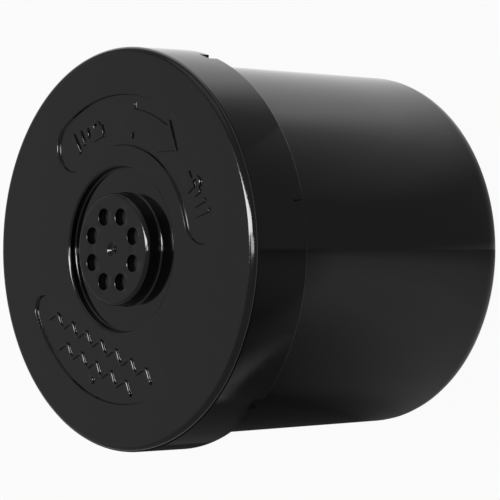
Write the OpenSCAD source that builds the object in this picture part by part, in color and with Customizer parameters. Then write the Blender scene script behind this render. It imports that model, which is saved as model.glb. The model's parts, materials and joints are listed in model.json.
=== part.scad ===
// Scale filter cartridge: a screw-capped canister that holds a bed of
// ion exchange resin. It stands on its inlet end, with the cap on top.
// Water comes in through the slots of the floor, rises through the bed and
// leaves through the perforated strainer in the middle of the cap.
// The origin is the middle of the foot, +Z points out of the cap's face and
// +Y points at the middle of the cap's turning arrow. Millimetres.

/* [Cap] */
// Outer diameter of the cap
cap_d = 80; // [68:0.5:96]
// Height of the cap, from its rim to its face
cap_h = 13.6; // [12.5:0.1:18]
// Thickness of the cap's skirt
cap_wall = 2.2; // [1.8:0.1:3.2]
// Thickness of the cap's top plate
cap_plate = 2.2; // [1.8:0.1:3]
// Rounding of the edge of the cap's face
cap_edge_r = 1.4; // [0.4:0.1:1.8]
// Number of drain notches in the rim of the skirt
notch_count = 6; // [3:1:12]
// Width of a drain notch
notch_w = 2.9; // [1.5:0.1:4]
// Height of a drain notch
notch_h = 2.6; // [1:0.1:3.2]

/* [Outlet] */
// Radius of the round recess in the cap's face
recess_r = 16.3; // [14:0.1:19.6]
// Depth of the recess below the face
recess_depth = 1.5; // [1.2:0.1:2]
// Rounding of the recess's upper edge
recess_edge_r = 0.6; // [0.2:0.1:0.8]
// Outer radius of the spigot that stands in the recess
spigot_r = 11.1; // [9.5:0.1:13.4]
// Wall of the spigot's collar
spigot_wall = 1.2; // [1:0.1:1.6]
// Height of the spigot's collar above the recess's floor
collar_h = 0.6; // [0.5:0.1:1]
// How far the strainer stands proud of the cap's face
strainer_proud = 2; // [1.6:0.1:3]
// Thickness of the strainer's perforated plate
strainer_plate = 1.8; // [1.2:0.1:2.4]
// Wall of the strainer's snap-in sleeve
sleeve_wall = 1.1; // [0.8:0.1:1.4]
// Number of outlet holes
hole_count = 8; // [5:1:10]
// Diameter of an outlet hole
hole_d = 3.4; // [2:0.1:4]
// Radius of the circle that the outlet holes lie on
hole_circle_r = 6.9; // [5:0.1:8.3]

/* [Canister] */
// Height of the canister, from its foot to the rim of its neck
canister_h = 67.7; // [50:0.5:90]
// How much the canister's outside narrows from shoulder to foot, on the radius
body_draft = 0.8; // [0:0.1:1.2]
// Rounding of the canister's lower edge
foot_edge_r = 5; // [2:0.5:6]
// Thickness of the slotted floor
floor_t = 2.2; // [1.6:0.1:3]
// Height of the floor above the foot
foot_h = 1.6; // [1:0.1:3]
// Wall of the threaded neck
neck_wall = 1.5; // [1.2:0.1:2]
// How far the body's shoulder reaches up into the skirt
shoulder_lap = 1.3; // [0.8:0.1:2]

/* [Thread] */
// Number of thread starts
thread_starts = 3; // [2:1:4]
// Distance between neighbouring thread ridges
thread_pitch = 5; // [4.4:0.1:6]
// Height of a ridge above its wall
thread_h = 1.2; // [0.9:0.1:1.4]
// Angle left free between the ends of neighbouring ridges
thread_gap = 25; // [20:5:50]

/* [Seal and media] */
// Thickness of the sealing ring
seal_t = 1.6; // [1.2:0.1:2.4]
// Thickness of each felt pad
felt_t = 3; // [2:0.5:5]
// Thickness of the foam disc
foam_t = 5; // [3:0.5:8]
// Thickness of the inlet mesh
mesh_t = 0.6; // [0.4:0.1:1]
// Height of the ring that clamps the inlet felt
clamp_h = 2; // [1.5:0.1:3]
// Height of the retainer plate's rim above its plate
retainer_rim_h = 4.6; // [3:0.1:5]
// Thickness of the retainer plate
retainer_t = 2; // [1.5:0.1:3]

/* [Markings] */
// Land between the recess and the arrow panel
panel_land = 4.1; // [2:0.1:5]
// Width of the arrow panel
panel_w = 10.4; // [8:0.1:11]
// Half the angle between the round ends of the arrow panel
panel_half_span = 56.5; // [45:0.5:70]
// Depth of both panels
panel_depth = 0.5; // [0.3:0.05:0.8]
// Height of the raised marks above the panel floors
mark_h = 0.35; // [0.2:0.05:0.5]

/* [Hidden] */
$fn = 96;

// Clearances
skirt_gap = 0.5;    // skirt to shoulder, and ridge to wall
seat_gap = 0.05;    // pushed-in pieces
media_gap = 0.15;   // pads, plate and bed to the cavity wall
press_gap = 0.1;    // cap rib to retainer plate rim
flank_gap = 0.25;   // loaded thread flanks
eps = 0.01;         // how far a cutter runs past a face

// Radii, from the cap inwards
cap_r = cap_d / 2;
skirt_r = cap_r - cap_wall;
shoulder_r = skirt_r - skirt_gap;
neck_r = skirt_r - thread_h - skirt_gap + 0.1;
cavity_r = neck_r - neck_wall;
cavity_draft = 0.3;
foot_r = shoulder_r - body_draft;

// Heights, from the foot up
floor_z = foot_h + floor_t;
rim_z = canister_h;
plate_z = rim_z + seal_t;
face_z = plate_z + cap_plate;
skirt_z = face_z - cap_h;
shoulder_z = skirt_z + shoulder_lap;
recess_z = face_z - recess_depth;
recess_under_z = recess_z - cap_plate;
strainer_z = face_z + strainer_proud;
collar_z = recess_z + collar_h;

// Thread
lead = thread_pitch * thread_starts;
ridge_root = 2.2;
ridge_crest = 1.0;
ridge_sink = 0.5;
ridge_step = 5;
thread_end_gap = 0.6;   // ridge ends to the neck's rim
flank_reach = ridge_root - (ridge_root - ridge_crest) * (skirt_r - neck_r) / thread_h / 2;
shoulder_gap = 0.3;     // cap's ridges to the shoulder
rise_room = rim_z - shoulder_z - thread_end_gap - ridge_root / 2
    - flank_reach - flank_gap - ridge_crest / 2 - shoulder_gap;
thread_span = min(360 / thread_starts - thread_gap, 360 * rise_room / lead);
neck_thread_z = rim_z - thread_end_gap - ridge_root / 2 - lead * thread_span / 360;
cap_thread_z = neck_thread_z - flank_reach - flank_gap;
thread_start_angle = thread_gap / 2;

// Drain notches, turned a little from the middle of the turning arrow
notch_turn = 1.7;

// Cap rib that holds the sealing ring and presses the retainer plate
rib_t = 1.6;
rib_gap = 1;
rib_r = cavity_r - rib_gap;
rib_z = plate_z - 3;

// Strainer sleeve and its snap bead
collar_bore_r = spigot_r - spigot_wall;
sleeve_r = collar_bore_r - seat_gap;
sleeve_bore_r = sleeve_r - sleeve_wall;
bead_out = 0.3;
bead_h = 0.8;
sleeve_z = recess_under_z - seat_gap - bead_h;
slit_count = 4;
slit_w = 1.2;
slit_h = 3;
hole_turn = -3;
dimple_r = 1.5;
dimple_depth = 0.4;
dimple_sphere_r = (dimple_r * dimple_r + dimple_depth * dimple_depth) / (2 * dimple_depth);
nub_r = 0.45;
nub_h = 0.35;
head_edge = 0.8;
collar_foot_r = 0.5;
recess_foot_r = 0.4;
outlet_mesh_t = 0.5;

// Stack in the cavity, from the floor up
inlet_felt_z = floor_z + mesh_t;
clamp_z = inlet_felt_z + felt_t;
clamp_wall = 2.4;
retainer_z = rib_z - press_gap - retainer_rim_h - retainer_t;
foam_z = retainer_z - foam_t;
outlet_felt_z = foam_z - felt_t;
retainer_rim_wall = 1.8;
retainer_rib_h = 1.4;
retainer_rib_t = 1.6;

// Slots of the floor and of the retainer plate
slot_w = 2.4;
foot_ring_w = 3;
slot_reach_r = foot_r - foot_edge_r - foot_ring_w - slot_w;
slot_rings = [[8, 6, 13], [16, 17, slot_reach_r]];

// Markings
panel_inner_r = recess_r + panel_land;
panel_mid_r = panel_inner_r + panel_w / 2;
panel_outer_r = panel_inner_r + panel_w;
panel_z = face_z - panel_depth;
lower_panel_y = 17;
lower_panel_corner = 3;
arrow_tip_angle = 22;
arrow_neck_angle = 11;
arrow_head_w = 7.2;
arrow_shaft_w = 4.7;
lock_angle = 38;
lock_w = 3.6;
tick_count = 3;
tick_step = 4.6;
tick_w = 0.9;
wave_w = 0.8;
wave_amplitude = 0.95;
wave_length = 5;
wave_rows = [[20.4, 3.5], [25, 2.5]];
dot_y = 27.9;
dot_r = 0.7;

// Points of an arc, with both its ends
function arc(cx, cy, r, a0, a1, n = 8) =
    [for (i = [0:n]) let (a = a0 + (a1 - a0) * i / n) [cx + r * cos(a), cy + r * sin(a)]];

// A point at a radius and an angle
function polar(r, a) = [r * cos(a), r * sin(a)];

// Radius of the drafted cavity at a height
function cavity_at(z) = cavity_r - cavity_draft * (rim_z - z) / (rim_z - floor_z);

// One thread ridge: a tapered bar wound up a helix, thinned at both ends.
// root_r lies inside the wall that carries it; crest_r is its free edge.
module ridge(root_r, wall_r, crest_r, z) {
    n = round(thread_span / ridge_step);
    ramp = 3;
    rings = [for (i = [0:n])
        let (a = i * thread_span / n,
             zc = z + lead * a / 360,
             out = min(1, (i + 0.4) / ramp, (n - i + 0.4) / ramp),
             tip_r = wall_r + (crest_r - wall_r) * out)
        each [[root_r * cos(a), root_r * sin(a), zc - ridge_root / 2],
              [tip_r * cos(a), tip_r * sin(a), zc - ridge_crest / 2],
              [tip_r * cos(a), tip_r * sin(a), zc + ridge_crest / 2],
              [root_r * cos(a), root_r * sin(a), zc + ridge_root / 2]]];
    inward = crest_r < root_r;
    sides = [for (i = [0:n - 1], k = [0:3])
        let (p = 4 * i + k, q = 4 * i + (k + 1) % 4)
        each [[p, q, q + 4], [p, q + 4, p + 4]]];
    ends = [[3, 2, 1, 0], [4 * n, 4 * n + 1, 4 * n + 2, 4 * n + 3]];
    faces = concat(sides, ends);
    flip = [for (f = faces) [for (i = [len(f) - 1:-1:0]) f[i]]];
    polyhedron(rings, inward ? flip : faces);
}

// The ridges of one side of the thread
module thread(root_r, wall_r, crest_r, z) {
    for (i = [0:thread_starts - 1])
        rotate(thread_start_angle + i * 360 / thread_starts)
            ridge(root_r, wall_r, crest_r, z);
}

// Round-ended radial slots in rings of [count, inner radius, outer radius]
module radial_slots(z, h) {
    for (ring = slot_rings, i = [0:ring[0] - 1])
        rotate(360 / ring[0] * (i + 0.5)) {
            translate([ring[1], -slot_w / 2, z]) cube([ring[2] - ring[1], slot_w, h]);
            for (r = [ring[1], ring[2]])
                translate([r, 0, z]) cylinder(d = slot_w, h = h);
        }
}

// Deep moulded cup with a slotted floor and a threaded neck
module canister_body() {
    color("#1b1c1e") difference() {
        union() {
            rotate_extrude() polygon(concat(
                [[0, foot_h], [foot_r - foot_edge_r - foot_ring_w, foot_h],
                 [foot_r - foot_edge_r - foot_ring_w + foot_h / 2, 0]],
                arc(foot_r - foot_edge_r, foot_edge_r, foot_edge_r, -90, 0),
                [[shoulder_r, shoulder_z - 0.6], [shoulder_r - 0.6, shoulder_z],
                 [neck_r, shoulder_z], [neck_r, rim_z - 0.4], [neck_r - 0.4, rim_z],
                 [cavity_r, rim_z], [cavity_at(floor_z), floor_z], [0, floor_z]]));
            thread(neck_r - ridge_sink, neck_r, neck_r + thread_h, neck_thread_z);
        }
        radial_slots(foot_h - eps, floor_t + 2 * eps);
    }
}

// Fine nylon mesh over the floor's slots
module inlet_mesh() {
    color("#d9dcdc") translate([0, 0, floor_z])
        cylinder(r = cavity_at(floor_z) - media_gap, h = mesh_t);
}

// Needled felt pad on the mesh
module inlet_felt() {
    color("#ece8dc") translate([0, 0, inlet_felt_z])
        cylinder(r = cavity_at(inlet_felt_z) - media_gap, h = felt_t);
}

// Ring pushed down the cavity, which holds the inlet felt
module clamp_ring() {
    color("#1b1c1e") translate([0, 0, clamp_z]) difference() {
        cylinder(r = cavity_at(clamp_z) - seat_gap, h = clamp_h);
        translate([0, 0, -eps]) cylinder(r = cavity_at(clamp_z) - clamp_wall, h = clamp_h + 2 * eps);
    }
}

// The charge of resin beads, settled round the clamp ring
module resin_bed() {
    inner_r = cavity_at(clamp_z) - clamp_wall - media_gap;
    low_r = cavity_at(clamp_z + clamp_h) - media_gap;
    high_r = cavity_at(outlet_felt_z) - media_gap;
    color("#c98a35") rotate_extrude() polygon([[0, clamp_z], [inner_r, clamp_z],
        [inner_r, clamp_z + clamp_h], [low_r, clamp_z + clamp_h],
        [high_r, outlet_felt_z], [0, outlet_felt_z]]);
}

// Needled felt pad on the bed
module outlet_felt() {
    color("#ece8dc") translate([0, 0, outlet_felt_z])
        cylinder(r = cavity_at(outlet_felt_z) - media_gap, h = felt_t);
}

// Open-cell foam disc, which takes up the swelling of the wet bed
module foam_disc() {
    color("#5c6266") translate([0, 0, foam_z])
        cylinder(r = cavity_at(foam_z) - media_gap, h = foam_t);
}

// Slotted plate with a rim and a finger rib, which the cap presses down
module retainer_plate() {
    plate_r = cavity_at(retainer_z) - media_gap;
    rim_top = retainer_t + retainer_rim_h;
    color("#26282a") difference() {
        union() {
            translate([0, 0, retainer_z]) difference() {
                cylinder(r = plate_r, h = rim_top);
                translate([0, 0, retainer_t])
                    cylinder(r = plate_r - retainer_rim_wall, h = retainer_rim_h + eps);
            }
            for (a = [0, 90]) rotate(a)
                translate([-slot_rings[0][2], -retainer_rib_t / 2, retainer_z + retainer_t - eps])
                    cube([2 * slot_rings[0][2], retainer_rib_t, retainer_rib_h + eps]);
        }
        radial_slots(retainer_z - eps, retainer_t + 2 * eps);
    }
}

// Flat rubber ring between the neck's rim and the cap
module sealing_ring() {
    color("#8f2f28") translate([0, 0, rim_z]) difference() {
        cylinder(r = skirt_r - skirt_gap, h = seal_t);
        translate([0, 0, -eps]) cylinder(r = rib_r + 2 * seat_gap, h = seal_t + 2 * eps);
    }
}

// Outline of the arrow panel: a bent slot with round ends
module arrow_panel() {
    left = 90 + panel_half_span;
    right = 90 - panel_half_span;
    end_l = polar(panel_mid_r, left);
    end_r = polar(panel_mid_r, right);
    polygon(concat(
        arc(0, 0, panel_outer_r, right, left, 40),
        arc(end_l[0], end_l[1], panel_w / 2, left, left + 180, 16),
        arc(0, 0, panel_inner_r, left, right, 40),
        arc(end_r[0], end_r[1], panel_w / 2, right - 180, right, 16)));
}

// Outline of the lower panel: a circle's segment with round corners
module lower_panel() {
    corner_r = panel_outer_r - lower_panel_corner;
    corner_y = lower_panel_y + lower_panel_corner;
    corner_x = sqrt(corner_r * corner_r - corner_y * corner_y);
    lean = atan2(corner_y, corner_x);
    polygon(concat(
        arc(0, 0, panel_outer_r, -180 + lean, -lean, 40),
        arc(corner_x, -corner_y, lower_panel_corner, -lean, 90, 10),
        arc(-corner_x, -corner_y, lower_panel_corner, 90, 180 + lean, 10)));
}

// Two-headed arrow bent round the cap's middle
module double_arrow() {
    up = 90 + arrow_neck_angle;
    down = 90 - arrow_neck_angle;
    polygon(concat(
        arc(0, 0, panel_mid_r + arrow_shaft_w / 2, down, up, 8),
        [polar(panel_mid_r + arrow_head_w / 2, up), polar(panel_mid_r, 90 + arrow_tip_angle),
         polar(panel_mid_r - arrow_head_w / 2, up)],
        arc(0, 0, panel_mid_r - arrow_shaft_w / 2, up, down, 8),
        [polar(panel_mid_r - arrow_head_w / 2, down), polar(panel_mid_r, 90 - arrow_tip_angle),
         polar(panel_mid_r + arrow_head_w / 2, down)]));
}

// Padlock symbol; the shackle of an open one is lifted and swung aside
module padlock(open) {
    body_h = 0.7 * lock_w;
    shackle_r = 0.36 * lock_w;
    bar = 0.2 * lock_w;
    lift = open ? 0.7 : 0;
    translate([-lock_w / 2, -body_h]) square([lock_w, body_h]);
    translate([open ? shackle_r : 0, -eps]) {
        translate([0, lift]) intersection() {
            difference() {
                circle(r = shackle_r);
                circle(r = shackle_r - bar);
            }
            translate([-shackle_r, 0]) square([2 * shackle_r, shackle_r]);
        }
        translate([-shackle_r, 0]) square([bar, lift + eps]);
        if (!open) translate([shackle_r - bar, 0]) square([bar, lift + eps]);
    }
}

// Padlock and a row of growing ticks, on one side of the arrow
module turn_marks(side) {
    rotate(side * lock_angle) translate([0, panel_mid_r]) padlock(side > 0);
    for (i = [0:tick_count - 1])
        rotate(side * (lock_angle + 7 + i * tick_step))
            translate([-tick_w / 2, panel_mid_r - 1 - i * 0.6])
                square([tick_w, 2 + i * 1.2]);
}

// Raised wave line of a number of whole lengths on each side
module wave(y, lengths) {
    n = round(lengths * 2 * 10);
    xs = [for (i = [0:n]) (i / n * 2 - 1) * lengths * wave_length];
    function crest(x) = wave_amplitude * cos(360 * x / wave_length);
    polygon(concat(
        [for (x = xs) [x, -y + crest(x) + wave_w / 2]],
        [for (i = [n:-1:0]) [xs[i], -y + crest(xs[i]) - wave_w / 2]]));
}

// Everything that stands up from the panel floors
module marks() {
    double_arrow();
    for (side = [-1, 1]) turn_marks(side);
    for (row = wave_rows) wave(row[0], row[1]);
}

// Screw cap with the recess, the spigot's collar, both panels and the notches
module screw_cap() {
    color("#1b1c1e") difference() {
        union() {
            rotate_extrude() polygon(concat(
                [[collar_bore_r, recess_under_z], [collar_bore_r, collar_z], [spigot_r, collar_z]],
                arc(spigot_r + collar_foot_r, recess_z + collar_foot_r, collar_foot_r, 180, 270, 4),
                arc(recess_r - recess_foot_r, recess_z + recess_foot_r, recess_foot_r, 270, 360, 4),
                arc(recess_r + recess_edge_r, face_z - recess_edge_r, recess_edge_r, 180, 90, 5),
                arc(cap_r - cap_edge_r, face_z - cap_edge_r, cap_edge_r, 90, 0),
                [[cap_r, skirt_z + 0.3], [cap_r - 0.3, skirt_z], [skirt_r + 0.3, skirt_z],
                 [skirt_r, skirt_z + 0.3], [skirt_r, plate_z], [rib_r, plate_z],
                 [rib_r, rib_z], [rib_r - rib_t, rib_z], [rib_r - rib_t, plate_z],
                 [recess_r + cap_plate, plate_z], [recess_r + cap_plate, recess_under_z]]));
            thread(skirt_r + ridge_sink, skirt_r, skirt_r - thread_h, cap_thread_z);
        }
        for (i = [0:notch_count - 1])
            rotate(90 + notch_turn + i * 360 / notch_count)
                translate([skirt_r - thread_h - 1, -notch_w / 2, skirt_z - eps])
                    cube([cap_wall + thread_h + 2, notch_w, notch_h + eps]);
        difference() {
            translate([0, 0, panel_z]) linear_extrude(panel_depth + eps) {
                arrow_panel();
                lower_panel();
            }
            translate([0, 0, panel_z - eps]) linear_extrude(mark_h + eps) marks();
            translate([0, -dot_y, panel_z - eps]) cylinder(r = dot_r, h = mark_h + eps);
        }
    }
}

// Perforated head with a split sleeve that snaps through the cap's collar
module outlet_strainer() {
    color("#202124") difference() {
        rotate_extrude() polygon(concat(
            [[0, strainer_z - strainer_plate], [sleeve_bore_r, strainer_z - strainer_plate],
             [sleeve_bore_r, sleeve_z], [sleeve_r, sleeve_z],
             [sleeve_r + bead_out, sleeve_z + bead_h / 2], [sleeve_r + bead_out, sleeve_z + bead_h],
             [sleeve_r, sleeve_z + bead_h], [sleeve_r, collar_z], [spigot_r, collar_z]],
            arc(spigot_r - head_edge, strainer_z - head_edge, head_edge, 0, 90, 5),
            [[0, strainer_z]]));
        for (i = [0:hole_count - 1])
            rotate(hole_turn + 90 + 360 / hole_count * i)
                translate([hole_circle_r, 0, strainer_z - strainer_plate - eps])
                    cylinder(d = hole_d, h = strainer_plate + 2 * eps);
        for (i = [0:slit_count - 1])
            rotate(45 + 360 / slit_count * i)
                translate([sleeve_bore_r - 1, -slit_w / 2, sleeve_z - eps])
                    cube([sleeve_wall + bead_out + 2, slit_w, slit_h + eps]);
        translate([0, 0, strainer_z + dimple_sphere_r - dimple_depth]) difference() {
            sphere(r = dimple_sphere_r);
            translate([0, 0, -dimple_sphere_r - eps]) cylinder(r = nub_r, h = nub_h);
        }
    }
}

// Mesh disc welded behind the perforated plate
module outlet_mesh() {
    color("#2b2d30") translate([0, 0, strainer_z - strainer_plate - outlet_mesh_t])
        cylinder(r = sleeve_bore_r - seat_gap, h = outlet_mesh_t);
}

canister_body();
inlet_mesh();
inlet_felt();
clamp_ring();
resin_bed();
outlet_felt();
foam_disc();
retainer_plate();
sealing_ring();
screw_cap();
outlet_strainer();
outlet_mesh();
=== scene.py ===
import json
import math

import bmesh
import bpy
from mathutils import Matrix, Vector, noise


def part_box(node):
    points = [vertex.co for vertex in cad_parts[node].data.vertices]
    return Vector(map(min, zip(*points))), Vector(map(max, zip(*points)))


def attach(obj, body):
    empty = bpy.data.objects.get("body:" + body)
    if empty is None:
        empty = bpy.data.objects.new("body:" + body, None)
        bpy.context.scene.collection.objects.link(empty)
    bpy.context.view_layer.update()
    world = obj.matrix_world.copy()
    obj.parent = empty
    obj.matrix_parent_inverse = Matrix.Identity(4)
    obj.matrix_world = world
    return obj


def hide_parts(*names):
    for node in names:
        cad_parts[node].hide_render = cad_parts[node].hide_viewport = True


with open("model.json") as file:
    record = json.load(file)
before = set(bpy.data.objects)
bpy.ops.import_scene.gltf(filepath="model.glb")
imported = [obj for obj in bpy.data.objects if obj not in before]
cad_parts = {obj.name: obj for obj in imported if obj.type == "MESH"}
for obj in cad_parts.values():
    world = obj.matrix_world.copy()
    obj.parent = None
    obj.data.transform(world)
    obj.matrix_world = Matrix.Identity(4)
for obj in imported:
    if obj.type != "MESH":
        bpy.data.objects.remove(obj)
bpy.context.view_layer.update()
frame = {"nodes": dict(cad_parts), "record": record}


# ---- Camera ----
# A long lens looks down on the cap from one side and is turned a quarter turn,
# so that the standing cartridge lies across the picture with its face to the left.

MM = 0.001
cap_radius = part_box("screw_cap")[1].x
face_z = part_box("screw_cap")[1].z
camera_turn = math.radians(20)
camera_rise = math.radians(41.16)
frame_pixels, lens_pixels = 500, 2749.4
face_right, face_down, face_ahead = -0.6411, -0.0029, 13.5549

out = Vector((math.cos(camera_turn), math.sin(camera_turn), 0))
side = Vector((-math.sin(camera_turn), math.cos(camera_turn), 0))
up = Vector((0, 0, 1))
look_back = math.cos(camera_rise) * out + math.sin(camera_rise) * up
look_right = math.sin(camera_rise) * out - math.cos(camera_rise) * up
eye = (
    face_z * up
    + cap_radius * (face_ahead * look_back - face_right * look_right + face_down * side)
)

lens = bpy.data.cameras.new("camera")
lens.lens = lens_pixels / frame_pixels * lens.sensor_width
camera = bpy.data.objects.new("camera", lens)
camera.matrix_world = Matrix.Translation(eye) @ Matrix(
    (look_right, side, look_back)
).transposed().to_4x4()
bpy.context.scene.collection.objects.link(camera)
bpy.context.scene.camera = camera


# ---- Canister body ----
# A deep cup moulded in glossy black plastic. Its wall tapers to a rounded foot,
# its floor is slotted for the inlet, and its stepped neck carries three ridges
# of thread for the cap.

TURNS = 240
seen_angle = math.radians(34)


class Shade:
    """An output of a material's nodes. Sums on it add Math nodes."""

    def __init__(self, tree, socket=None):
        self.tree, self.socket = tree, socket

    def node(self, kind, settings=None, sockets=None, output=0):
        made = self.tree.nodes.new("ShaderNode" + kind)
        for name, value in (settings or {}).items():
            if name == "stops":
                ramp = made.color_ramp.elements
                while len(ramp) < len(value):
                    ramp.new(1)
                for stop, (place, tone) in zip(ramp, value):
                    stop.position, stop.color = place, (tone, tone, tone, 1)
            else:
                setattr(made, name, value)
        for name, value in (sockets or {}).items():
            if isinstance(value, Shade):
                self.tree.links.new(value.socket, made.inputs[name])
            else:
                made.inputs[name].default_value = value
        return Shade(self.tree, made.outputs[output] if len(made.outputs) else None)

    def sum(self, operation, first, second):
        return self.node("Math", {"operation": operation}, {0: first, 1: second})

    def or_more(self, other):
        return self.sum("MAXIMUM", self, other)

    def __add__(self, other):
        return self.sum("ADD", self, other)

    def __sub__(self, other):
        return self.sum("SUBTRACT", self, other)

    def __rsub__(self, other):
        return self.sum("SUBTRACT", other, self)

    def __mul__(self, other):
        return self.sum("MULTIPLY", self, other)

    __radd__ = __add__
    __rmul__ = __mul__


def finish(name, surface):
    """A material whose surface(shade, place) gives its shader's sockets."""
    made = bpy.data.materials.new(name)
    made.use_nodes = True
    made.node_tree.nodes.clear()
    shade = Shade(made.node_tree)
    place = shade.node("TexCoord", output="Object")
    shader = shade.node("BsdfPrincipled", {}, surface(shade, place))
    shade.node("OutputMaterial", {}, {"Surface": shader})
    return made


def grain(shade, place, size, detail=3.0):
    """Noise from 0 to 1 whose blotches are about that size in metres."""
    return shade.node("TexNoise", {}, {"Vector": place, "Scale": 1 / size, "Detail": detail})


def spread(shade, value, low, high, from_low=0.35, from_high=0.65):
    """The value carried from its usual spread to low..high."""
    return shade.node(
        "MapRange",
        {},
        {"Value": value, "From Min": from_low, "From Max": from_high, "To Min": low, "To Max": high},
    )


def tint(shade, fac, first, second):
    return shade.node(
        "Mix",
        {"data_type": "RGBA"},
        {"Factor": fac, 6: (*first, 1), 7: (*second, 1)},
        output=2,
    )


def gloss_black(shade, place):
    """Polished moulding: faint flow marks, handling haze and orange peel."""
    flow = grain(shade, place, 14 * MM)
    haze = grain(shade, place, 3.5 * MM, 5.0)
    peel = grain(shade, place, 1.1 * MM, 1.0)
    dust = shade.node("TexVoronoi", {}, {"Vector": place, "Scale": 1 / (1.7 * MM)})
    speck = spread(shade, dust, 1, 0, 0.02, 0.06)
    deep, worn = (0.0048, 0.005, 0.0056), (0.0066, 0.0068, 0.0072)
    return {
        "Base Color": tint(shade, flow * 0.6 + speck * 0.25, deep, worn),
        "Roughness": spread(shade, haze, 0.07, 0.11) + speck * 0.15,
        "IOR": 1.55,
        "Normal": shade.node(
            "Bump", {}, {"Height": peel, "Strength": 0.03, "Distance": 0.05 * MM}
        ),
    }


shell_black = finish("shell_black", gloss_black)


def arc(x, y, radius, start, end, steps):
    """Points along an arc, in degrees, with both its ends."""
    angles = [math.radians(start + (end - start) * i / steps) for i in range(steps + 1)]
    return [(x + radius * math.cos(a), y + radius * math.sin(a)) for a in angles]


def softened(corners, steps=5):
    """An open outline of (x, y, radius) corners with each corner rounded."""
    points = [corners[0][:2]]
    for (ax, ay, _), (bx, by, radius), (cx, cy, _) in zip(corners, corners[1:], corners[2:]):
        b = Vector((bx, by))
        to_a, to_c = Vector((ax, ay)) - b, Vector((cx, cy)) - b
        if radius <= 0:
            points.append((bx, by))
            continue
        half = to_a.angle(to_c) / 2
        reach = radius / math.tan(half)
        to_a.normalize()
        to_c.normalize()
        middle = b + (to_a + to_c).normalized() * (radius / math.sin(half))
        first, last = b + to_a * reach - middle, b + to_c * reach - middle
        bend = first.angle_signed(last)
        for i in range(steps + 1):
            spoke = Matrix.Rotation(-bend * i / steps, 2) @ first
            points.append(tuple(middle + spoke))
    points.append(corners[-1][:2])
    return points


def turned(mesh, profile, turns=TURNS, closed=False):
    """Turns an outline of (radius, height) in mm about the axis. The outline
    runs so that the solid lies on its left. Returns the rings of vertices."""
    rings = []
    for radius, height in profile:
        if radius < 1e-6:
            rings.append([mesh.verts.new((0, 0, height * MM))])
            continue
        ring = [
            mesh.verts.new(
                (radius * MM * math.cos(a), radius * MM * math.sin(a), height * MM)
            )
            for a in (2 * math.pi * i / turns for i in range(turns))
        ]
        rings.append(ring)
    pairs = list(zip(rings, rings[1:] + rings[:1]))
    for low, high in pairs if closed else pairs[:-1]:
        for i in range(turns):
            j = (i + 1) % turns
            corners = [low[i % len(low)], low[j % len(low)], high[j % len(high)], high[i % len(high)]]
            mesh.faces.new(list(dict.fromkeys(corners)))
    return rings


def edges_round(mesh, loop):
    """The edges that join a loop of vertices, made where they're missing."""
    found = []
    for a, b in zip(loop, loop[1:] + loop[:1]):
        found.append(mesh.edges.get((a, b)) or mesh.edges.new((a, b)))
    return found


def filled(mesh, loops, facing):
    """A flat sheet between loops of vertices, outermost first, facing up or down."""
    edges = [edge for loop in loops for edge in edges_round(mesh, loop)]
    made = bmesh.ops.triangle_fill(mesh, use_beauty=True, use_dissolve=False, edges=edges)
    faces = [f for f in made["geom"] if isinstance(f, bmesh.types.BMFace)]
    for face in faces:
        face.normal_update()
        if face.normal.z * facing < 0:
            face.normal_flip()
    return faces


def inset(outline, by):
    """The outline moved inwards by a distance, both in mm, counter-clockwise."""
    moved = []
    earlier, later = outline[-1:] + outline[:-1], outline[1:] + outline[:1]
    for (ax, ay), (bx, by_), (cx, cy) in zip(earlier, outline, later):
        before = Vector((bx - ax, by_ - ay)).normalized()
        after = Vector((cx - bx, cy - by_)).normalized()
        left = Vector((-before.y - after.y, before.x + after.x)).normalized()
        stretch = max(0.4, left.dot(Vector((-before.y, before.x))))
        moved.append((bx + left.x * by / stretch, by_ + left.y * by / stretch))
    return moved


def walled(mesh, outline, steps):
    """A wall round an outline. Each step is (distance inwards, height) in mm.
    Returns the loops of vertices, one a step."""
    loops = [
        [mesh.verts.new((x * MM, y * MM, height * MM)) for x, y in inset(outline, by)]
        for by, height in steps
    ]
    for low, high in zip(loops, loops[1:]):
        for i in range(len(low)):
            j = (i + 1) % len(low)
            mesh.faces.new((low[i], low[j], high[j], high[i]))
    return loops


def thread(mesh, root, crest, height, span, lead, starts=3, first=12.5):
    """Tapered ridges wound up a helix, thinned at both ends, in mm and degrees."""
    root_half, crest_half, ramp, steps = 1.1, 0.5, 6, 48
    wall = root + 0.5 * (1 if crest > root else -1)
    for start in range(starts):
        rings = []
        for i in range(steps + 1):
            a = math.radians(first + start * 360 / starts + span * i / steps)
            z = height + lead * span / 360 * i / steps
            tip = wall + (crest - wall) * min(1, (i + 0.4) / ramp, (steps - i + 0.4) / ramp)
            corners = ((root, -root_half), (tip, -crest_half), (tip, crest_half), (root, root_half))
            rings.append(
                [
                    mesh.verts.new((r * MM * math.cos(a), r * MM * math.sin(a), (z + dz) * MM))
                    for r, dz in corners
                ]
            )
        for low, high in zip(rings, rings[1:]):
            for k in range(4):
                mesh.faces.new((low[k], low[(k + 1) % 4], high[(k + 1) % 4], high[k]))
        mesh.faces.new(rings[0])
        mesh.faces.new(rings[-1][::-1])


def piece(name, mesh, body, material, *stands_for, slot="shell"):
    """Turns a bmesh into a smooth-shaded piece that rides on a body."""
    bmesh.ops.remove_doubles(mesh, verts=mesh.verts, dist=1e-8)
    bmesh.ops.recalc_face_normals(mesh, faces=mesh.faces)
    data = bpy.data.meshes.new(name)
    mesh.to_mesh(data)
    mesh.free()
    data.materials.append(material)
    data.shade_smooth()
    data.set_sharp_from_angle(angle=seen_angle)
    made = bpy.data.objects.new(name, data)
    bpy.context.scene.collection.objects.link(made)
    even = made.modifiers.new("even_flats", "WEIGHTED_NORMAL")
    even.keep_sharp, even.weight = True, 90
    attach(made, body)
    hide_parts(*stands_for)
    return made


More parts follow.
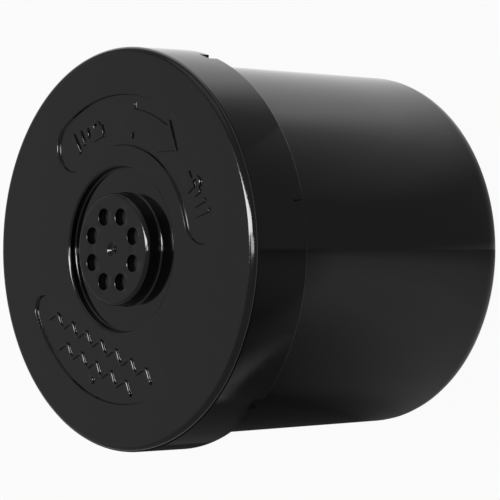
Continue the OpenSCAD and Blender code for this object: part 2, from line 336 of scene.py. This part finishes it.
def radial_slots(rings, width):
    """Outlines of round-ended slots in rings of (count, inner, outer radius)."""
    outlines = []
    for count, inner, outer in rings:
        for i in range(count):
            turn = Matrix.Rotation(-math.radians(360 / count * (i + 0.5)), 2)
            ends = arc(outer, 0, width / 2, -90, 90, 10) + arc(inner, 0, width / 2, 90, 270, 10)
            outlines.append([tuple(turn @ Vector(p)) for p in ends])
    return outlines


cap_r, face = cap_radius / MM, face_z / MM
cap_h, cap_wall, skirt_gap, skirt_lap = 13.6, 2.2, 0.5, 1.3
draft, foot_edge, foot_ring, foot_rise, floor_top = 0.8, 5, 3, 1.6, 3.8
ridge_h, ridge_play, neck_wall = 1.2, 0.4, 1.5
shoulder_r = cap_r - cap_wall - skirt_gap
foot_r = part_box("canister_body")[1].x / MM - draft
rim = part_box("canister_body")[1].z / MM
shoulder = face - cap_h + skirt_lap
neck_r = cap_r - cap_wall - ridge_h - ridge_play
cavity_r = neck_r - neck_wall
floor_r = foot_r - foot_edge - foot_ring
slot_w = 2.4
slot_rings = [(8, 6, 13), (16, 17, floor_r - slot_w)]

cup = bmesh.new()
side_wall = softened(
    [
        (floor_r, foot_rise, 0),
        (floor_r + 0.8, 0, 0.3),
        (foot_r - 0.05, 0, foot_edge),
        (shoulder_r, shoulder - 0.6, 0.1),
        (shoulder_r - 0.6, shoulder, 0.3),
        (neck_r, shoulder, 0.2),
        (neck_r, rim, 0.4),
        (cavity_r, rim, 0.3),
        (cavity_r - 0.3, floor_top, 0.5),
        (floor_r, floor_top, 0),
    ],
    steps=8,
)
cup_rings = turned(cup, side_wall)
slot_side = [(-0.2, foot_rise), (0, foot_rise + 0.2), (0, floor_top - 0.2), (-0.2, floor_top)]
under, over = [], []
for slot_outline in radial_slots(slot_rings, slot_w):
    loops = walled(cup, slot_outline, slot_side)
    under.append(loops[0])
    over.append(loops[-1])
filled(cup, [cup_rings[0], *under], -1)
filled(cup, [cup_rings[-1], *over], 1)
lead, thread_span = 15, 95
thread_end_gap, ridge_root = 0.6, 1.1
neck_thread = rim - thread_end_gap - ridge_root - lead * thread_span / 360
thread(cup, neck_r - 0.5, neck_r + ridge_h, neck_thread, thread_span, lead)
piece("canister_shell", cup, "canister", shell_black, "canister_body")


# ---- Inlet mesh ----
# A disc of fine white nylon gauze, punched from sheet. It lies over the slots of
# the floor and keeps the beads in.


def gauze(pitch, shaded_gap, thread_tone):
    """Plain weave: threads over and under each other, with painted shade darkening the gaps between
    them.
    """

    def surface(shade, place):
        bands = []
        for way in ("X", "Y"):
            bands.append(
                shade.node(
                    "TexWave",
                    {"wave_type": "BANDS", "bands_direction": way},
                    {"Vector": place, "Scale": 0.314 / pitch, "Distortion": 0.4, "Detail": 1.0},
                    output=1,
                )
            )
        threads = bands[0].or_more(bands[1])
        fuzz = grain(shade, place, 0.3 * MM, 4.0)
        # Painted shade: the gaps between the threads take the darker colour.
        return {
            "Base Color": tint(shade, threads * 0.8 + fuzz * 0.2, shaded_gap, thread_tone),
            "Roughness": spread(shade, fuzz, 0.45, 0.6),
            "Normal": shade.node(
                "Bump", {}, {"Height": threads, "Strength": 0.6, "Distance": 0.12 * MM}
            ),
        }

    return surface


def dress(node, material):
    """Gives a carried-over solid its material."""
    for held in frame["nodes"][node].material_slots:
        held.material = material


dress("inlet_mesh", finish("white_gauze", gauze(0.5 * MM, (0.2, 0.21, 0.21), (0.72, 0.74, 0.74))))


# ---- Inlet felt ----
# A pad of needled polyester felt, punched with a round die, so that its edge is
# a little crushed. It lies on the gauze and is pinned by the clamp ring.


def felt_look(shade, place):
    """Tangled white fibres in random tone, with painted shade darkening the pits of the needles."""
    fibres = grain(shade, place, 0.35 * MM, 6.0)
    tufts = grain(shade, place, 2.5 * MM, 3.0)
    pits = shade.node("TexVoronoi", {}, {"Vector": place, "Scale": 1 / (1.1 * MM)})
    pit = spread(shade, pits, 1, 0, 0.05, 0.3)
    # The pit share is painted shade in the needle pits; fibres and tufts are the felt's own tone.
    fibre_tone_and_pit_shade = fibres * 0.6 + tufts * 0.3 + pit * 0.2
    return {
        "Base Color": tint(shade, fibre_tone_and_pit_shade, (0.84, 0.82, 0.75), (0.62, 0.59, 0.5)),
        "Roughness": spread(shade, fibres, 0.85, 1.0),
        "Sheen Weight": 0.3,
        "Normal": shade.node(
            "Bump", {}, {"Height": fibres - pit * 0.5, "Strength": 0.7, "Distance": 0.25 * MM}
        ),
    }


white_felt = finish("white_felt", felt_look)


def pad(name, node, material, edge, give, lump):
    """A soft disc in the space of a node. Its faces sink and its edge draws in by
    up to give, in lumps of a size in mm, and its corners are rounded by edge."""
    low, high = (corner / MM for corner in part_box(node))
    radius, foot, top = high.x, low.z, high.z
    steps = 22
    flat = [(radius - edge) * i / steps for i in range(steps)]
    lower = arc(radius - edge, foot + edge, edge, -90, 0, 4)
    upper = arc(radius - edge, top - edge, edge, 0, 90, 4)
    outline = [(r, foot) for r in flat] + lower + upper + [(r, top) for r in flat[::-1]]
    soft = bmesh.new()
    for ring in turned(soft, outline, turns=120):
        for vert in ring:
            sunk = give * (0.5 + 0.5 * noise.noise(vert.co / (lump * MM)))
            height = vert.co.z / MM
            inward = 1 - sunk / radius * min(1, vert.co.xy.length / MM / radius)
            vert.co.x *= inward
            vert.co.y *= inward
            vert.co.z += (1 - 2 * (height - foot) / (top - foot)) * sunk * MM
    made = piece(name, soft, "canister", material, node, slot=node_slots[node])


node_slots = {part["node"]: part["material_slot"] for part in frame["record"]["subparts"]}
pad("inlet_pad", "inlet_felt", white_felt, edge=0.6, give=0.25, lump=4)


# ---- Clamp ring ----
# A plain moulded ring in satin black plastic, pushed down the cup on to the felt.


def satin_black(shade, place):
    """Plain moulding out of sight: dull, with flow marks and scuffs."""
    flow = grain(shade, place, 9 * MM)
    scuff = grain(shade, place, 0.5 * MM, 5.0)
    deep, worn = (0.018, 0.018, 0.02), (0.034, 0.034, 0.036)
    return {
        "Base Color": tint(shade, flow * 0.5 + scuff * 0.3, deep, worn),
        "Roughness": spread(shade, scuff, 0.32, 0.5),
        "Normal": shade.node("Bump", {}, {"Height": scuff, "Strength": 0.12, "Distance": 0.06 * MM}),
    }


inner_black = finish("inner_black", satin_black)
dress("clamp_ring", inner_black)


# ---- Resin bed ----
# The charge of amber ion exchange beads, poured in and shaken down until it
# fills the cup round the clamp ring.


def amber_beads(shade, place):
    """Beads of 0.8 mm, each its own tone of amber, with painted shade darkening them towards the gaps.
    """
    cells = {"Vector": place, "Scale": 1 / (0.8 * MM)}
    gap = shade.node("TexVoronoi", {}, cells)
    own = shade.node("TexVoronoi", {}, cells, output=1)
    tone = shade.node("RGBToBW", {}, {"Color": own})
    # Painted shade: each bead's colour darkens from its middle to the gaps. The same value shapes the
    # bump.
    dome_and_gap_shade = spread(shade, gap, 1, 0, 0.05, 0.6)
    return {
        "Base Color": tint(shade, tone * 0.7 * dome_and_gap_shade + 0.15, (0.16, 0.06, 0.012), (0.74, 0.4, 0.1)),
        "Roughness": spread(shade, tone, 0.18, 0.3, 0, 1),
        "Normal": shade.node("Bump", {}, {"Height": dome_and_gap_shade, "Strength": 0.9, "Distance": 0.35 * MM}),
    }


dress("resin_bed", finish("amber_beads", amber_beads))


# ---- Outlet felt ----
# The same needled felt, laid on the bed.

pad("outlet_pad", "outlet_felt", white_felt, edge=0.6, give=0.25, lump=4)


# ---- Foam disc ----
# A disc cut from grey reticulated foam, slightly squeezed by the retainer plate.
# It takes up the swelling of the wet bed.


def open_cells(shade, place):
    """Open cells of about 1.2 mm with pale struts and hollows darkened by painted shade."""
    cells = shade.node(
        "TexVoronoi", {"feature": "DISTANCE_TO_EDGE"}, {"Vector": place, "Scale": 1 / (1.2 * MM)}
    )
    # Painted shade: the hollows of the cells take the dark colour. The same value sinks them in the
    # bump.
    hollow_depth_and_shade = spread(shade, cells, 0, 1, 0.05, 0.25)
    dust = grain(shade, place, 5 * MM)
    return {
        "Base Color": tint(shade, hollow_depth_and_shade * 0.8 + dust * 0.2, (0.2, 0.21, 0.22), (0.03, 0.032, 0.036)),
        "Roughness": spread(shade, dust, 0.8, 0.95),
        "Normal": shade.node(
            "Bump", {}, {"Height": 1 - hollow_depth_and_shade, "Strength": 1.0, "Distance": 0.4 * MM}
        ),
    }


pad("foam_pad", "foam_disc", finish("grey_foam", open_cells), edge=0.35, give=0.4, lump=2.2)


# ---- Retainer plate ----
# A slotted plate with a rim and a cross-shaped finger rib, moulded in the satin
# black. The cap's rib presses it down on the foam.

dress("retainer_plate", inner_black)


# ---- Sealing ring ----
# A flat ring punched from red silicone sheet. It lies on the neck's rim.


def red_silicone(shade, place):
    """Smooth sheet with talc in its pores."""
    talc = grain(shade, place, 0.6 * MM, 5.0)
    cloud = grain(shade, place, 8 * MM)
    return {
        "Base Color": tint(shade, talc * 0.35 + cloud * 0.3, (0.3, 0.035, 0.025), (0.42, 0.12, 0.09)),
        "Roughness": spread(shade, talc, 0.38, 0.55),
        "Normal": shade.node("Bump", {}, {"Height": talc, "Strength": 0.1, "Distance": 0.05 * MM}),
    }


dress("sealing_ring", finish("red_silicone", red_silicone))


# ---- Screw cap ----
# A broad cap in the same glossy black. Its face has a shallow round recess with the
# outlet's collar in it, and two shallow panels with raised marks. Its skirt has the
# matching thread inside and six drain notches in its rim.

skirt_foot = face - cap_h
skirt_r = cap_r - cap_wall
cap_plate, cap_edge = 2.2, 1.4
plate = face - cap_plate
recess_r, recess_edge, recess_floor = 16.3, 0.6, face - 1.5
recess_under = recess_floor - cap_plate
spigot_r, collar_top = 11.1, recess_floor + 0.6
collar_wall, rib_w, rib_h = 1.2, 1.6, 3
collar_bore = spigot_r - collar_wall
rib_r, rib_foot = cavity_r - 1, plate - rib_h
panel_depth, mark_height = 0.5, 0.35
panel_floor = face - panel_depth


def panel_satin(shade, place):
    """The panels' floors, left matt by the mould's spark-cut insert."""
    look = gloss_black(shade, place)
    pits = grain(shade, place, 0.25 * MM, 4.0)
    look["Roughness"] = spread(shade, pits, 0.1, 0.15)
    look["Normal"] = shade.node("Bump", {}, {"Height": pits, "Strength": 0.03, "Distance": 0.04 * MM})
    return look


panel_black = finish("panel_black", panel_satin)

panel_mid, panel_w, panel_half_span = 25.6, 10.4, 56.5
panel_in, panel_out = panel_mid - panel_w / 2, panel_mid + panel_w / 2


def polar(radius, angle):
    return radius * math.cos(math.radians(angle)), radius * math.sin(math.radians(angle))


def arrow_panel():
    """A bent slot with round ends, over the recess."""
    left, right = 90 + panel_half_span, 90 - panel_half_span
    (lx, ly), (rx, ry) = polar(panel_mid, left), polar(panel_mid, right)
    return (
        arc(0, 0, panel_out, right, left, 90)[:-1]
        + arc(lx, ly, panel_w / 2, left, left + 180, 24)[:-1]
        + arc(0, 0, panel_in, left, right, 70)[:-1]
        + arc(rx, ry, panel_w / 2, right - 180, right, 24)[:-1]
    )


def lower_panel():
    """A circle's segment with round corners, under the recess."""
    corner, line = 3.0, 17.0
    corner_r, corner_y = panel_out - corner, line + corner
    corner_x = math.sqrt(corner_r**2 - corner_y**2)
    lean = math.degrees(math.atan2(corner_y, corner_x))
    return (
        arc(0, 0, panel_out, lean - 180, -lean, 60)[:-1]
        + arc(corner_x, -corner_y, corner, -lean, 90, 14)
        + arc(-corner_x, -corner_y, corner, 90, 180 + lean, 14)[:-1]
    )


def double_arrow():
    """The turning arrow: two heads on a bent shaft."""
    tip, neck, head, shaft = 22, 11, 3.6, 2.35
    outer, inner = panel_mid + head, panel_mid - head
    return (
        arc(0, 0, panel_mid + shaft, 90 - neck, 90 + neck, 16)
        + [polar(outer, 90 + neck), polar(panel_mid, 90 + tip), polar(inner, 90 + neck)]
        + arc(0, 0, panel_mid - shaft, 90 + neck, 90 - neck, 16)
        + [polar(inner, 90 - neck), polar(panel_mid, 90 - tip), polar(outer, 90 - neck)]
    )


hoop, hoop_bar = 1.3, 0.72


def padlock(is_open):
    """Outline of a padlock. The gap in a shut one's shackle is cut after it."""
    width, tall, lift = 3.6, 2.52, 0.7
    body = [(-width / 2, -tall), (width / 2, -tall), (width / 2, 0)]
    if is_open:
        inner = arc(hoop, lift, hoop - hoop_bar, 180, 0, 10)
        outer = arc(hoop, lift, hoop, 0, 180, 12)
        return body + [(hoop_bar, 0)] + inner + outer + [(0, 0), (-width / 2, 0)]
    return body + arc(0, 0, hoop, 0, 180, 12) + [(-width / 2, 0)]


def bar_mark(width, low, high):
    return [(-width / 2, low), (width / 2, low), (width / 2, high), (-width / 2, high)]


def wave(y, lengths, width=0.8, swing=0.95, length=5.0):
    """A row of waves across the lower panel."""
    steps = round(lengths * 2 * 14)
    across = [(i / steps * 2 - 1) * lengths * length for i in range(steps + 1)]
    crest = [(x, -y + swing * math.cos(2 * math.pi * x / length)) for x in across]
    return [(x, z - width / 2) for x, z in crest] + [(x, z + width / 2) for x, z in crest[::-1]]


def moved(outline, angle, distance):
    """An outline drawn upright at the axis, put at a radius and an angle from +Y."""
    turn = Matrix.Rotation(-math.radians(angle), 2)
    return [tuple(turn @ Vector((x, y + distance))) for x, y in outline]


upper_marks = [double_arrow()]
lock_turn, tick_turn, tick_step = 38, 45, 4.6
for way in (-1, 1):
    lock = moved(padlock(way > 0), way * lock_turn, panel_mid)
    if way < 0:
        shut_lock = lock
    upper_marks.append(lock)
    upper_marks += [
        moved(bar_mark(0.9, -1 - 0.6 * i, 1 + 0.6 * i), way * (tick_turn + tick_step * i), panel_mid)
        for i in range(3)
    ]
lower_marks = [wave(20.4, 3.5), wave(25.0, 2.5), arc(0, -27.9, 0.7, 0, 360, 20)[:-1]]

cap = bmesh.new()
ring_wall = softened(
    [
        (recess_r + recess_edge, face, 0),
        (recess_r, face, recess_edge - 0.01),
        (recess_r, recess_floor, 0.4),
        (spigot_r, recess_floor, 0.5),
        (spigot_r, collar_top, 0.04),
        (collar_bore, collar_top, 0.1),
        (collar_bore, recess_under, 0.1),
        (recess_r + cap_plate, recess_under, 0.5),
        (recess_r + cap_plate, plate, 0.4),
        (rib_r - rib_w, plate, 0.2),
        (rib_r - rib_w, rib_foot, 0.3),
        (rib_r, rib_foot, 0.3),
        (rib_r, plate, 0),
        (skirt_r, plate, 0.3),
        (skirt_r, skirt_foot, 0.3),
        (cap_r, skirt_foot, 0.3),
        (cap_r, face, cap_edge - 0.01),
        (cap_r - cap_edge, face, 0),
    ],
    steps=8,
)
cap_rings = turned(cap, ring_wall)
edge_in = [(0, face), (0.06, face - 0.02), (0.14, face - 0.08), (0.18, face - 0.16)]
edge_out = [(0.3, panel_floor + 0.1), (0.34, panel_floor + 0.03), (0.42, panel_floor)]
mark_side = [
    (-0.1, 0),
    (-0.03, 0.03),
    (0, 0.1),
    (0.02, mark_height - 0.13),
    (0.06, mark_height - 0.04),
    (0.15, mark_height),
]
mark_top = panel_floor + mark_height
gap_side = [
    (-0.12, mark_top),
    (-0.04, mark_top - 0.04),
    (0, mark_top - 0.12),
    (0.02, mark_top - mark_height),
]
shackle_gap = moved(arc(0, 0.15, hoop - hoop_bar, 0, 180, 10), -lock_turn, panel_mid)
panel_tops = []
matt_faces = []
for outline, marks in ((arrow_panel(), upper_marks), (lower_panel(), lower_marks)):
    rows = walled(cap, outline, edge_in + edge_out)
    panel_tops.append(rows[0])
    mark_feet = []
    for mark in marks:
        standing = walled(cap, mark, [(by, panel_floor + rise) for by, rise in mark_side])
        mark_feet.append(standing[0])
        top_edges = [standing[-1]]
        if mark is shut_lock:
            lip = walled(cap, shackle_gap, gap_side)
            top_edges.append(lip[0])
            matt_faces += filled(cap, [lip[-1]], 1)
        filled(cap, top_edges, 1)
    matt_faces += filled(cap, [rows[-1], *mark_feet], 1)
filled(cap, [cap_rings[-1], cap_rings[0], *panel_tops], 1)
for flat in matt_faces:
    flat.material_index = 1
flank_reach, flank_gap = 1.4, 0.25
cap_thread = neck_thread - flank_reach - flank_gap
thread(cap, skirt_r + 0.5, skirt_r - ridge_h, cap_thread, thread_span, lead)


def block(mesh, turn, reach, width, low, high):
    """A bar that points away from the axis, for cutting, in mm and degrees."""
    spin = Matrix.Rotation(math.radians(turn), 3, "Z")
    (near, away), half = reach, width / 2
    corners = [
        mesh.verts.new(spin @ Vector((x, y, z)) * MM)
        for z in (low, high)
        for x, y in ((near, -half), (away, -half), (away, half), (near, half))
    ]
    mesh.faces.new(corners[3::-1])
    mesh.faces.new(corners[4:])
    for i in range(4):
        j = (i + 1) % 4
        mesh.faces.new((corners[i], corners[j], corners[4 + j], corners[4 + i]))


def carved(solid, tool):
    """The solid with the tool cut out of it. Both meshes are used up."""
    pair = []
    for mesh in (solid, tool):
        bmesh.ops.remove_doubles(mesh, verts=mesh.verts, dist=1e-8)
        bmesh.ops.recalc_face_normals(mesh, faces=mesh.faces)
        data = bpy.data.meshes.new("cut")
        mesh.to_mesh(data)
        mesh.free()
        pair.append(bpy.data.objects.new("cut", data))
        bpy.context.scene.collection.objects.link(pair[-1])
    cut = pair[0].modifiers.new("cut", "BOOLEAN")
    cut.operation, cut.solver, cut.use_self, cut.object = "DIFFERENCE", "EXACT", True, pair[1]
    seen = pair[0].evaluated_get(bpy.context.evaluated_depsgraph_get())
    made = bmesh.new()
    made.from_mesh(seen.data)
    for spent in pair:
        bpy.data.meshes.remove(spent.data)
    return made


notch_w, notch_h, notch_turn = 2.9, 2.6, 1.7
notch_reach = (skirt_r - cap_wall, cap_r + 1)
notches = bmesh.new()
for i in range(6):
    turn = 90 + notch_turn + 60 * i
    block(notches, turn, notch_reach, notch_w, skirt_foot - 1, skirt_foot + notch_h)
screw_cap = piece("cap_shell", carved(cap, notches), "cap", shell_black, "screw_cap")
screw_cap.data.materials.append(panel_black)


# ---- Outlet strainer ----
# A round head with eight holes on a split sleeve that snaps through the cap's
# collar. The middle of its plate is dished where the plastic was let in.

head_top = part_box("outlet_strainer")[1].z / MM
sleeve_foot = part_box("outlet_strainer")[0].z / MM
sleeve_r = collar_bore - 0.05
sleeve_bore = sleeve_r - 1.1
head_under = head_top - 1.8
dimple_r, dimple_depth, nub_r = 1.5, 0.4, 0.45
hole_r, hole_circle, hole_turn = 1.7, 6.9, -3

head = bmesh.new()
head_wall = softened(
    [
        (sleeve_bore, head_under, 0),
        (sleeve_bore, sleeve_foot, 0.2),
        (sleeve_r, sleeve_foot, 0.1),
        (sleeve_r + 0.3, sleeve_foot + 0.4, 0.1),
        (sleeve_r + 0.3, sleeve_foot + 0.8, 0.05),
        (sleeve_r, sleeve_foot + 0.8, 0),
        (sleeve_r, collar_top + 0.01, 0.05),
        (spigot_r, collar_top + 0.01, 0.05),
        (spigot_r, head_top, 0.8),
        (spigot_r - 0.85, head_top, 0),
    ],
    steps=8,
)
head_rings = turned(head, head_wall)
dish = softened(
    [
        (dimple_r + 0.25, head_top, 0),
        (dimple_r, head_top, 0.3),
        (nub_r + 0.25, head_top - dimple_depth, 0.4),
        (nub_r + 0.02, head_top - dimple_depth, 0.08),
        (nub_r, head_top - dimple_depth + 0.3, 0.15),
        (0, head_top - dimple_depth + 0.33, 0),
    ]
)
dish_rings = turned(head, dish)
hole_side = [(-0.07, head_top), (-0.02, head_top - 0.02), (0, head_top - 0.07), (0, head_under)]
mouths, exits = [], []
for i in range(8):
    x, y = polar(hole_circle, hole_turn + 90 + 45 * i)
    loops = walled(head, arc(x, y, hole_r, 0, 360, 40)[:-1], hole_side)
    mouths.append(loops[0])
    exits.append(loops[-1])
filled(head, [head_rings[-1], dish_rings[0], *mouths], 1)
filled(head, [head_rings[0], *exits], -1)
slit_w, slit_h = 1.2, 3
slit_reach = (sleeve_bore - 1, sleeve_r + 1)
slits = bmesh.new()
for i in range(4):
    block(slits, 45 + 90 * i, slit_reach, slit_w, sleeve_foot - 1, sleeve_foot + slit_h)
piece("strainer_head", carved(head, slits), "cap", shell_black, "outlet_strainer")


# ---- Outlet mesh ----
# A disc of fine black gauze, welded behind the perforated plate.

dress("outlet_mesh", finish("black_gauze", gauze(0.4 * MM, (0.004, 0.004, 0.005), (0.02, 0.02, 0.022))))


# ---- Stage ----
# A plain pale floor in a plain grey room. Two soft boxes light the cartridge, two
# narrow lamps hang over it, and graded dark films of painted shade and a glowing curved
# strip of painted gleam lie on the floor. Lamps and films are there for the gloss.

floor_mesh = bmesh.new()
bmesh.ops.create_circle(floor_mesh, cap_ends=True, segments=96, radius=3)
floor_data = bpy.data.meshes.new("floor")
floor_mesh.to_mesh(floor_data)
floor_mesh.free()
floor = bpy.data.objects.new("floor", floor_data)
floor.location.z = -0.1 * MM
bpy.context.scene.collection.objects.link(floor)

pale = bpy.data.materials.new("pale_floor")
pale.use_nodes = True
pale.node_tree.nodes.clear()
shade = Shade(pale.node_tree)
shown = shade.node("LightPath", output="Is Camera Ray")
mirrored = shade.node("LightPath", output="Is Glossy Ray")
passed = shade.node("LightPath", output="Is Transmission Ray")
lit = shade.node("BsdfDiffuse", {}, {"Color": (0.9, 0.9, 0.9, 1)})
glow = shade.node("Emission", {}, {"Color": (1, 1, 1, 1), "Strength": 1.0})
part = shown * 0.95 + mirrored + passed
shade.node("OutputMaterial", {}, {"Surface": shade.node("MixShader", {}, {0: part, 1: lit, 2: glow})})
floor_data.materials.append(pale)


def graded(shade, value, stops):
    """A tone that follows a length in mm through stops of (mm, tone)."""
    first, last = stops[0][0], stops[-1][0]
    along = spread(shade, value, 0, 1, first * MM, last * MM)
    places = [((mm - first) / (last - first), tone) for mm, tone in stops]
    return shade.node("ValToRGB", {"stops": places}, {0: along})


def film(name, sheet, place, turn, mixed):
    """Lays a sheet on the floor that is seen only in the gloss, for painted shade and
    painted gleam in the reflections. mixed(shade, spot) gives a share and the two shaders that it
    mixes."""
    data = bpy.data.meshes.new(name)
    sheet.to_mesh(data)
    sheet.free()
    laid = bpy.data.objects.new(name, data)
    laid.location, laid.rotation_euler.z = place, turn
    look = bpy.data.materials.new(name)
    look.use_nodes = True
    look.node_tree.nodes.clear()
    shade = Shade(look.node_tree)
    share, first, second = mixed(shade, shade.node("TexCoord", output="Object"))
    blend = shade.node("MixShader", {}, {0: share, 1: first, 2: second})
    shade.node("OutputMaterial", {}, {"Surface": blend})
    data.materials.append(look)
    bpy.context.scene.collection.objects.link(laid)
    laid.visible_camera = laid.visible_diffuse = laid.visible_shadow = False


def painted_shade_film(name, height, across, outwards, sideways, least=0):
    """A graded dark film of painted shade, seen only in reflections. It spans from one to
    another place to the side, in mm, and lets through the product of two tones, one by how
    far out and one by how far to the side, or the least."""
    far = 400
    sheet = bmesh.new()
    spots = ((-far, across[0]), (far, across[0]), (far, across[1]), (-far, across[1]))
    sheet.faces.new([sheet.verts.new((x * MM, y * MM, 0)) for x, y in spots])

    def dimmed(shade, spot):
        x = shade.node("SeparateXYZ", {}, {0: spot}, output=0)
        y = shade.node("SeparateXYZ", {}, {0: spot}, output=1)
        passing = (graded(shade, x, outwards) * graded(shade, y, sideways)).or_more(least)
        dark = shade.node("BsdfDiffuse", {}, {"Color": (0.01, 0.01, 0.012, 1)})
        return passing, dark, shade.node("BsdfTransparent")

    film(name, sheet, height * MM * up, camera_turn, dimmed)


# Painted shade: these films darken the floor as the reflections see it, in place of the cartridge's
# shadow and the dark room.
painted_shade_film(
    "upper_painted_shade",
    0.3,
    (0, 400),
    [(19, 1), (24, 0.9), (30, 0.7), (36, 0.52), (44, 0.4), (60, 0.28), (80, 0.2), (110, 0.15)],
    [(0, 0.75), (2, 0.42), (18, 0.4), (32, 0.82), (46, 1)],
    0.17,
)
painted_shade_film(
    "far_painted_shade",
    0.6,
    (86, 400),
    [(-25, 1), (-5, 0.95), (8, 0.75), (22, 0.46), (40, 0.56), (70, 0.75), (110, 0.95)],
    [(86, 1), (400, 1)],
)
painted_shade_film(
    "lower_painted_shade",
    0.3,
    (-400, 0),
    [(-8, 0.04), (7, 0.3), (19, 0.7), (32, 0.9), (46, 1), (84, 1), (98, 0.42), (120, 0.36)],
    [(-110, 0.05), (-84, 0.08), (-60, 0.18), (-35, 0.34), (-18, 0.38), (-6, 0.32), (0, 0.16)],
    0.025,
)


def curved_strip(inner, outer, start, end, steps=16):
    """A flat band along an arc, by radii in mm and angles in degrees."""
    strip = bmesh.new()
    sides = [
        [strip.verts.new((x * MM, y * MM, 0)) for x, y in arc(0, 0, radius, start, end, steps)]
        for radius in (inner, outer)
    ]
    for i in range(steps):
        strip.faces.new((sides[0][i], sides[1][i], sides[1][i + 1], sides[0][i + 1]))
    return strip


def painted_gleam(shade, spot):
    """Painted gleam: a soft glow along the strip's middle in a faint glowing haze at its far end, seen
    only in reflections.
    """
    x = shade.node("SeparateXYZ", {}, {0: spot}, output=0)
    radius = shade.node("VectorMath", {"operation": "LENGTH"}, {0: spot}, output="Value")
    gleam = graded(shade, radius, [(67, 0), (70, 1), (74, 0.7), (79, 0)])
    gleam = gleam * graded(shade, x, [(2, 0), (12, 1), (44, 1), (58, 0.6), (70, 0)])
    haze = graded(shade, radius, [(56, 0), (60, 0.15), (84, 0.15)])
    haze = haze * graded(shade, x, [(-74, 1), (0, 0.8), (24, 0)])
    glow = shade.node("Emission", {}, {"Color": (1, 1, 1, 1), "Strength": 0.42})
    return gleam + haze, shade.node("BsdfTransparent"), glow


# Painted reflection: a glowing strip, no lamp, that lays a light streak in the gloss of the lower
# skirt.
strip_middle = (12.9 * out - 39.6 * side + 0.9 * up) * MM
film("painted_gleam_strip", curved_strip(54, 84, -150, -22), strip_middle, camera_turn, painted_gleam)

world = bpy.data.worlds.new("room")
bpy.context.scene.world = world
world.use_nodes = True
world.node_tree.nodes.clear()
shade = Shade(world.node_tree)
grey = shade.node("Background", {}, {"Color": (1, 1, 1, 1), "Strength": 0.25})
shade.node("OutputWorld", {}, {"Surface": grey})

middle = Vector((0, 0, face_z / 2))


def soft_box(name, turn, rise, distance, width, height, brightness, along=up, gloss_only=False):
    """A rectangular lamp that faces the cartridge, by degrees and metres. Its
    height lies along a direction."""
    around, above = math.radians(turn), math.radians(rise)
    flat = math.cos(above)
    way = Vector((math.cos(around) * flat, math.sin(around) * flat, math.sin(above)))
    upright = (along - way * along.dot(way)).normalized()
    light = bpy.data.lights.new(name, "AREA")
    light.shape, light.size, light.size_y = "RECTANGLE", width, height
    light.energy = brightness * math.pi * width * height
    lamp = bpy.data.objects.new(name, light)
    lamp.matrix_world = (
        Matrix.Translation(middle + way * distance)
        @ Matrix((upright.cross(way), upright, way)).transposed().to_4x4()
    )
    bpy.context.scene.collection.objects.link(lamp)
    lamp.visible_camera = False
    lamp.visible_diffuse = not gloss_only


soft_box("back_box", 200, 41, 0.9, 0.8, 0.8, 0.11)
soft_box("side_box", 118, 38, 0.7, 0.5, 0.4, 0.3)
lamp_line = Vector((*polar(1, 25), 0))
soft_box("top_lamp", 114, 82.5, 0.6, 0.085, 0.68, 15, lamp_line, gloss_only=True)
soft_box("near_lamp", 24, 66, 0.6, 0.06, 0.46, 8, out, gloss_only=True)

bpy.context.scene.view_settings.view_transform = "Standard"
